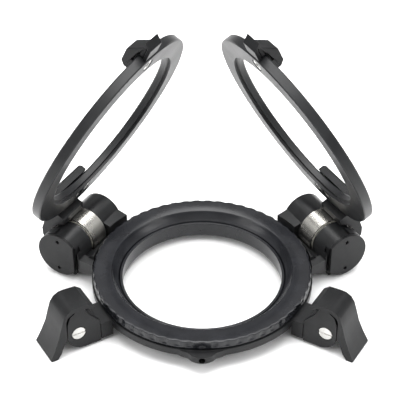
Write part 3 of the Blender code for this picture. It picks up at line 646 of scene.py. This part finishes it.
def turning_lines(tree, coords, pitch, along="rings", axis="Z"):
    """Fine tool marks: circles about an axis, or bands along it."""
    wave = tree.nodes.new("ShaderNodeTexWave")
    if along == "rings":
        wave.wave_type = "RINGS"
        wave.rings_direction = axis
    else:
        wave.wave_type = "BANDS"
        wave.bands_direction = axis
    wave.inputs["Scale"].default_value = 0.314 / pitch
    wave.inputs["Distortion"].default_value = 0.6
    wave.inputs["Detail"].default_value = 2.0
    wave.inputs["Detail Scale"].default_value = 1.5
    tree.links.new(coords, wave.inputs["Vector"])
    return wave.outputs["Fac"]


def finish_material(name, dark, light, rough, metallic=0.0, grain=0.00002, lines=None,
                    specular=0.5, wear=(0.09, 0.09, 0.09), wear_from=0.7):
    """A finish with mottled colour, faint rubbed marks, varied gloss and a fine grain."""
    material = bpy.data.materials.new(name)
    material.use_nodes = True
    tree = material.node_tree
    shader = tree.nodes["Principled BSDF"]
    coords = tree.nodes.new("ShaderNodeTexCoord").outputs["Object"]
    mottle = noise_node(tree, coords, 130.0, 6.0)
    base = ramp_node(tree, mottle, [(0.32, dark), (0.68, light)])
    rubbed = noise_node(tree, coords, 420.0, 8.0, stretch=(1.0, 5.0, 2.0), offset=(0.3, 0.1, 0.7))
    mask = range_node(tree, rubbed, 0.0, 0.2, wear_from, wear_from + 0.12)
    mix = tree.nodes.new("ShaderNodeMix")
    mix.data_type = "RGBA"
    colour_b = [socket for socket in mix.inputs if socket.name == "B" and socket.type == "RGBA"][0]
    colour_a = [socket for socket in mix.inputs if socket.name == "A" and socket.type == "RGBA"][0]
    colour_b.default_value = (*wear, 1.0)
    tree.links.new(mask, mix.inputs["Factor"])
    tree.links.new(base, colour_a)
    result = [socket for socket in mix.outputs if socket.type == "RGBA"][0]
    tree.links.new(result, shader.inputs["Base Color"])
    gloss = noise_node(tree, coords, 60.0, 5.0, offset=(1.3, 0.2, 0.4))
    tree.links.new(range_node(tree, gloss, rough[0], rough[1]), shader.inputs["Roughness"])
    fine = noise_node(tree, coords, 6500.0, 2.0)
    normal = bump_node(tree, fine, grain, 0.35)
    if lines is not None:
        marks = turning_lines(tree, coords, **lines)
        normal = bump_node(tree, marks, 0.000006, 0.3, below=normal)
    tree.links.new(normal, shader.inputs["Normal"])
    shader.inputs["Metallic"].default_value = metallic
    shader.inputs["Specular IOR Level"].default_value = specular
    return material


# ---------------------------------------------------------------- placing

def hinge_matrix(hand):
    turn = Matrix.Rotation(-HINGE_TURN * hand, 4, "Z")
    return Matrix.Translation(Vector(hinge_place(hand)) * MM) @ turn


def swing_matrix(hand):
    return hinge_matrix(hand) @ Matrix.Rotation(-OPEN_ANGLE * hand, 4, "Y")


def latch_matrix(hand):
    turn = Matrix.Rotation(latch_heading(hand), 4, "Z")
    return Matrix.Translation(Vector(latch_place(hand)) * MM) @ turn


def show(name, mesh, matrix, material, body, width, centre=None):
    """One finished piece in place of its CAD node, with its edges softened to a width in mm.

    A centre moves the object's origin there, so that ring-shaped tool marks run around it.
    """
    if centre is not None:
        shift = Matrix.Translation(Vector(centre) * MM)
        mesh.transform(shift.inverted())
        matrix = matrix @ shift
    mesh.name = f"{name}_shape"
    mesh.materials.clear()
    mesh.materials.append(material)
    mesh.shade_smooth()
    mesh.set_sharp_from_angle(angle=SHARP_ANGLE)
    obj = bpy.data.objects.new(f"{name}_finish", mesh)
    bpy.context.scene.collection.objects.link(obj)
    obj.matrix_world = matrix
    if width:
        bevel = obj.modifiers.new("edge", "BEVEL")
        bevel.width = width * MM
        bevel.segments = BEVEL_SEGMENTS
        bevel.limit_method = "ANGLE"
        bevel.angle_limit = BEVEL_ANGLE
        bevel.harden_normals = False
        bevel.use_clamp_overlap = True
    bpy.context.view_layer.update()
    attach(obj, body)
    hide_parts(name)


black = finish_material(
    "anodised_black", (0.006, 0.0062, 0.0068), (0.011, 0.0113, 0.012), (0.34, 0.46),
    specular=0.22)
turned_black = finish_material(
    "anodised_turned", (0.009, 0.0094, 0.0112), (0.015, 0.0157, 0.0185), (0.19, 0.27),
    lines={"pitch": 0.00022}, specular=0.32)
ring_black = finish_material(
    "anodised_ring", (0.007, 0.0072, 0.008), (0.012, 0.0125, 0.0135), (0.36, 0.46),
    lines={"pitch": 0.00022}, specular=0.3)
barrel_black = finish_material(
    "anodised_barrel", (0.0085, 0.0088, 0.0094), (0.015, 0.0153, 0.016), (0.27, 0.36),
    lines={"pitch": 0.00025, "along": "bands", "axis": "Y"}, specular=0.35)
steel = finish_material(
    "turned_steel", (0.60, 0.585, 0.54), (0.72, 0.705, 0.66), (0.22, 0.30), metallic=1.0,
    grain=0.000006, lines={"pitch": 0.00018, "along": "bands", "axis": "Y"},
    wear=(0.8, 0.79, 0.77), wear_from=0.76)
screw_steel = finish_material(
    "screw_steel", (0.40, 0.395, 0.38), (0.58, 0.575, 0.555), (0.2, 0.34), metallic=1.0,
    grain=0.000012, wear=(0.7, 0.69, 0.67))
acetal = finish_material(
    "acetal", (0.70, 0.70, 0.67), (0.80, 0.80, 0.77), (0.40, 0.55), wear=(0.6, 0.6, 0.57))

world = Matrix.Identity(4)
show("knurled_ring", knurl_ring(), world, turned_black, "mount_ring", width=0.0)
show("thread_sleeve", thread_sleeve(), world, turned_black, "mount_ring", width=0.3)
show("base_ring", base_ring(), world, black, "base", width=0.22)

for side, hand in (("left", 1), ("right", -1)):
    hinge, swing, latch = hinge_matrix(hand), swing_matrix(hand), latch_matrix(hand)
    for name, mesh, material, width in (
            ("hinge_bracket", hinge_bracket(), barrel_black, 0.3),
            ("hinge_cap", hinge_cap(), black, 0.25),
            ("hinge_pin", hinge_pin(), screw_steel, 0.1)):
        show(f"{side}_{name}", handed(mesh, hand), hinge, material, "base", width)
    for name, mesh, material, width in (
            ("hinge_sleeve", hinge_sleeve(), steel, 0.15),
            ("flip_arm", flip_arm(), black, 0.45),
            ("latch_tab", latch_tab(), black, 0.6),
            ("latch_catch", latch_catch(), black, 0.2)):
        show(f"{side}_{name}", handed(mesh, hand), swing, material, f"{side}_flip", width)
    show(f"{side}_lens_ring", handed(lens_ring(), hand), swing, ring_black, f"{side}_flip", 0.15,
         centre=(HINGE_RHO * hand, 0.0, 0.0))
    for index, values in enumerate(RING_SCREWS):
        screw = handed(countersunk(*values), hand)
        show(f"{side}_ring_screw_{index + 1}", screw, swing, screw_steel, f"{side}_flip", 0.12)
    for index, y in enumerate(ARM_SCREWS_Y):
        screw = handed(arm_screw(y), hand)
        show(f"{side}_arm_screw_{index + 1}", screw, swing, screw_steel, f"{side}_flip", 0.12)
    for name, mesh, material, width, body in (
            ("latch_bracket", latch_bracket(), black, 0.3, "base"),
            ("latch_pin", latch_pin(), screw_steel, 0.2, "base"),
            ("latch_lever", latch_lever(), black, 0.4, f"{side}_latch")):
        show(f"{side}_{name}", handed(mesh, -hand), latch, material, body, width)

# finishes of the hidden pieces that stay as their CAD nodes, by a word in the node's name
hidden_finish = {"disc_spring": screw_steel, "nut": screw_steel, "screw": screw_steel,
                 "latch_spring": screw_steel, "washer": acetal, "glide": acetal, "hub": black}
for name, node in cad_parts.items():
    if node.hide_render:
        continue
    for word, material in hidden_finish.items():
        if word in name:
            node.data.materials.clear()
            node.data.materials.append(material)


# ---------------------------------------------------------------- floor, light and camera

FLOOR_HALF_WIDTH = 12.0        # metres, wide enough that a low view doesn't see its edge
FLOOR_DROP = 0.0001            # metres below the feet, so that the faces don't coincide
SKY_STRENGTH = (0.12, 1.05)    # near the horizon and overhead
SKY_HEIGHT = (0.1, 0.85)       # height on the sky at which each is reached, of 1 overhead
CAMERA_LENS = 133.6            # mm, on a sensor of the next width
CAMERA_SENSOR = 36.0
CAMERA_DISTANCE = 0.6          # metres from the centre of the port ring's top
CAMERA_ELEVATION = 40.74       # degrees
CAMERA_PITCH = 2.592           # degrees upwards from that centre
CAMERA_YAW = 0.11              # degrees
# name, place, target, width and length, all in metres, and power in watts
LIGHTS = (
    ("overhead", (0.0, 0.15, 0.9), (0.0, 0.0, 0.0), (1.0, 0.8), 15.0),
    ("left_box", (-0.8, -0.35, 0.55), (0.0, 0.0, 0.03), (0.5, 0.6), 4.0),
    ("right_box", (0.8, -0.35, 0.55), (0.0, 0.0, 0.03), (0.5, 0.6), 4.0),
)

def floor_material():
    material = bpy.data.materials.new("white_sweep")
    material.use_nodes = True
    tree = material.node_tree
    shader = tree.nodes["Principled BSDF"]
    coords = tree.nodes.new("ShaderNodeTexCoord").outputs["Object"]
    tone = noise_node(tree, coords, 8.0, 4.0)
    colour = ramp_node(tree, tone, [(0.3, (0.93, 0.93, 0.93)), (0.7, (0.95, 0.95, 0.95))])
    tree.links.new(colour, shader.inputs["Base Color"])
    shader.inputs["Roughness"].default_value = 0.85
    return material


def area_light(name, place, target, size, power):
    data = bpy.data.lights.new(name, "AREA")
    data.shape = "RECTANGLE"
    data.size, data.size_y = size
    data.energy = power
    light = bpy.data.objects.new(name, data)
    light.location = place
    light.rotation_euler = (Vector(target) - Vector(place)).to_track_quat("-Z", "Y").to_euler()
    bpy.context.scene.collection.objects.link(light)


def make_stage():
    bm = bmesh.new()
    bmesh.ops.create_grid(bm, x_segments=1, y_segments=1, size=FLOOR_HALF_WIDTH)
    mesh = bpy.data.meshes.new("floor")
    bm.to_mesh(mesh)
    bm.free()
    mesh.materials.append(floor_material())
    floor = bpy.data.objects.new("floor", mesh)
    floor.location = (0.0, 0.0, FLOOR_Z * MM - FLOOR_DROP)
    bpy.context.scene.collection.objects.link(floor)


def make_world():
    """Bright overhead and dim towards the horizon, like a light tent with dark side cards."""
    world_data = bpy.data.worlds.new("studio")
    world_data.use_nodes = True
    tree = world_data.node_tree
    background = tree.nodes["Background"]
    coords = tree.nodes.new("ShaderNodeTexCoord").outputs["Generated"]
    direction = tree.nodes.new("ShaderNodeSeparateXYZ")
    tree.links.new(coords, direction.inputs["Vector"])
    sky = range_node(tree, direction.outputs["Z"], *SKY_STRENGTH, *SKY_HEIGHT)
    tree.links.new(sky, background.inputs["Strength"])
    background.inputs["Color"].default_value = (1.0, 1.0, 1.0, 1.0)
    bpy.context.scene.world = world_data
    bpy.context.scene.view_settings.view_transform = "Standard"


def make_camera():
    data = bpy.data.cameras.new("camera")
    data.lens = CAMERA_LENS
    data.sensor_width = CAMERA_SENSOR
    data.clip_start = 0.05
    camera = bpy.data.objects.new("camera", data)
    elevation = math.radians(CAMERA_ELEVATION)
    camera.location = (
        0.0, -CAMERA_DISTANCE * math.cos(elevation),
        TOP_Z * MM + CAMERA_DISTANCE * math.sin(elevation))
    camera.rotation_euler = (
        math.radians(90.0 - CAMERA_ELEVATION + CAMERA_PITCH), 0.0, math.radians(CAMERA_YAW))
    bpy.context.scene.collection.objects.link(camera)
    bpy.context.scene.camera = camera


make_stage()
make_world()
make_camera()
for light_name, place, target, light_size, power in LIGHTS:
    area_light(light_name, place, target, light_size, power)
